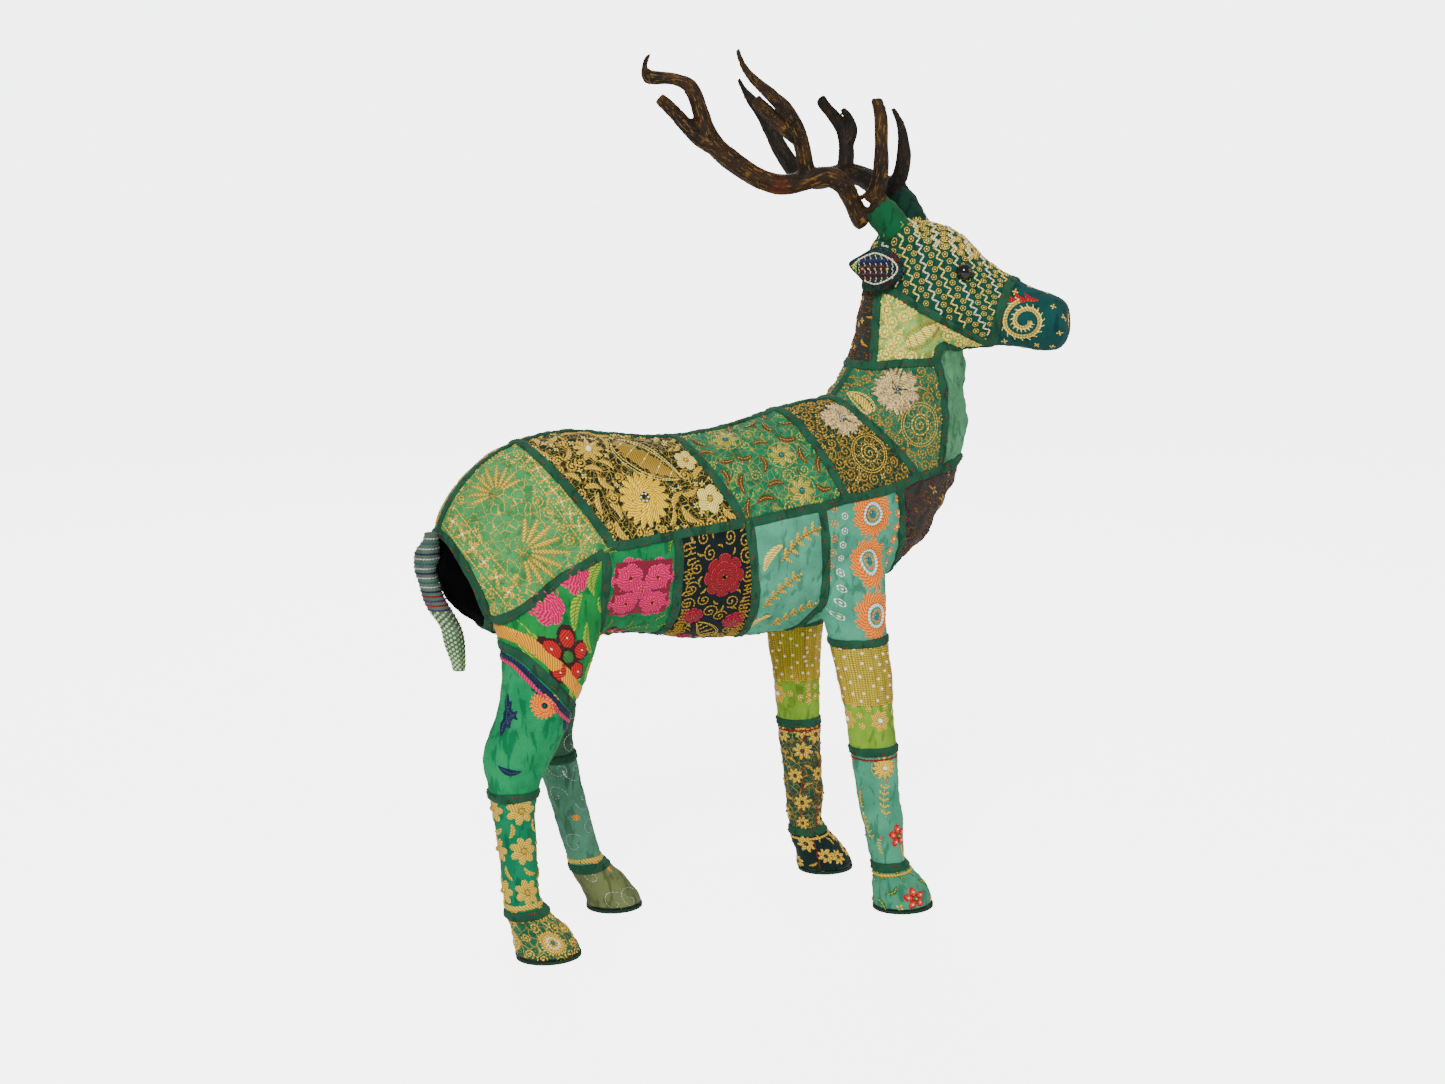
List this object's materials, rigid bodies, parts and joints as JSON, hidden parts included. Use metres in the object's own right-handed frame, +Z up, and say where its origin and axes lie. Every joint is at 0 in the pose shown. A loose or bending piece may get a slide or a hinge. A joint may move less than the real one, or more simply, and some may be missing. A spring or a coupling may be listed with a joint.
{
  "type": "patchwork stag figure",
  "caption": "Free-standing stag figure covered in embroidered patchwork cloth, with carved bark-brown antlers that pull out of sewn cuffs.",
  "frame": {"origin": "on the ground, under the middle of the overall box", "axes": "+X towards the chest, +Y to the stag's left, +Z up"},
  "size_m": [0.6709, 0.3611, 0.8869],
  "materials": {
    "rump_cloth": "matte",
    "loin_cloth": "matte",
    "back_cloth": "matte",
    "withers_cloth": "matte",
    "velvet_cloth": "matte",
    "haunch_cloth": "matte",
    "rose_flank_cloth": "matte",
    "navy_flank_cloth": "matte",
    "mint_flank_cloth": "matte",
    "shoulder_cloth": "matte",
    "neck_cloth": "matte",
    "chest_cloth": "matte",
    "throat_cloth": "matte",
    "nape_cloth": "matte",
    "forearm_cloth": "matte",
    "fore_shin_cloth": "matte",
    "fore_hoof_cloth": "matte",
    "gaskin_cloth": "matte",
    "hind_shin_cloth": "matte",
    "hind_hoof_cloth": "matte",
    "cheek_cloth": "matte",
    "muzzle_cloth": "matte",
    "crown_cloth": "matte",
    "binding_cotton": "matte",
    "cuff_cotton": "matte",
    "ear_cloth": "matte",
    "tail_cloth": "matte",
    "antler_bark": "matte",
    "pulp": "matte",
    "armature_wire": "matte",
    "eye_bead": "gloss",
    "sole_felt": "matte"
  },
  "bodies": {
    "stag": {"back_left_patch": "back_cloth", "back_right_patch": "back_cloth", "cheek_left_patch": "cheek_cloth", "cheek_right_patch": "cheek_cloth", "chest_patch": "chest_cloth", "crown_patch": "crown_cloth", "cuff_left": "cuff_cotton", "cuff_right": "cuff_cotton", "eye_left": "eye_bead", "eye_right": "eye_bead", "fore_hoof_left_patch": "fore_hoof_cloth", "fore_hoof_right_patch": "fore_hoof_cloth", "fore_left_leg_form": "pulp", "fore_right_leg_form": "pulp", "fore_shin_left_patch": "fore_shin_cloth", "fore_shin_right_patch": "fore_shin_cloth", "forearm_left_patch": "forearm_cloth", "forearm_right_patch": "forearm_cloth", "gaskin_left_patch": "gaskin_cloth", "gaskin_right_patch": "gaskin_cloth", "haunch_left_patch": "haunch_cloth", "haunch_right_patch": "haunch_cloth", "head_form": "pulp", "hind_hoof_left_patch": "hind_hoof_cloth", "hind_hoof_right_patch": "hind_hoof_cloth", "hind_left_leg_form": "pulp", "hind_right_leg_form": "pulp", "hind_shin_left_patch": "hind_shin_cloth", "hind_shin_right_patch": "hind_shin_cloth", "hoof_soles": "sole_felt", "loin_left_patch": "loin_cloth", "loin_right_patch": "loin_cloth", "mint_flank_left_patch": "mint_flank_cloth", "mint_flank_right_patch": "mint_flank_cloth", "muzzle_patch": "muzzle_cloth", "nape_patch": "nape_cloth", "navy_flank_left_patch": "navy_flank_cloth", "navy_flank_right_patch": "navy_flank_cloth", "neck_form": "pulp", "neck_left_patch": "neck_cloth", "neck_right_patch": "neck_cloth", "rose_flank_left_patch": "rose_flank_cloth", "rose_flank_right_patch": "rose_flank_cloth", "rump_left_patch": "rump_cloth", "rump_right_patch": "rump_cloth", "seam_bindings": "binding_cotton", "shoulder_left_patch": "shoulder_cloth", "shoulder_right_patch": "shoulder_cloth", "throat_patch": "throat_cloth", "trunk_form": "pulp", "velvet_patch": "velvet_cloth", "wire_armature": "armature_wire", "withers_left_patch": "withers_cloth", "withers_right_patch": "withers_cloth"},
    "antler_right": {"antler_right": "antler_bark"},
    "antler_left": {"antler_left": "antler_bark"},
    "ear_right": {"ear_right": "ear_cloth"},
    "ear_left": {"ear_left": "ear_cloth"},
    "tail": {"tail": "tail_cloth"}
  },
  "joints": [
    {"name": "antler_right_pull", "type": "slide", "parent": "stag", "child": "antler_right", "axis": [-0.5469, 0.3206, 0.7734], "range_m": [0, 0.045]},
    {"name": "antler_left_pull", "type": "slide", "parent": "stag", "child": "antler_left", "axis": [-0.286, 0.4766, 0.8313], "range_m": [0, 0.045]},
    {"name": "ear_right_flex", "type": "hinge", "parent": "stag", "child": "ear_right", "pos_m": [0.17697, -0.08335, 0.664], "axis": [0, 0, 1], "range_deg": [-2, 10], "stiffness_Nm_per_rad": 0.02},
    {"name": "ear_left_flex", "type": "hinge", "parent": "stag", "child": "ear_left", "pos_m": [0.23835, -0.02197, 0.664], "axis": [0, 0, -1], "range_deg": [-2, 10], "stiffness_Nm_per_rad": 0.02},
    {"name": "tail_swing", "type": "hinge", "parent": "stag", "child": "tail", "pos_m": [-0.311, -0.047, 0.405], "axis": [1, 0, 0], "range_deg": [-12, 12], "stiffness_Nm_per_rad": 0.02}
  ]
}
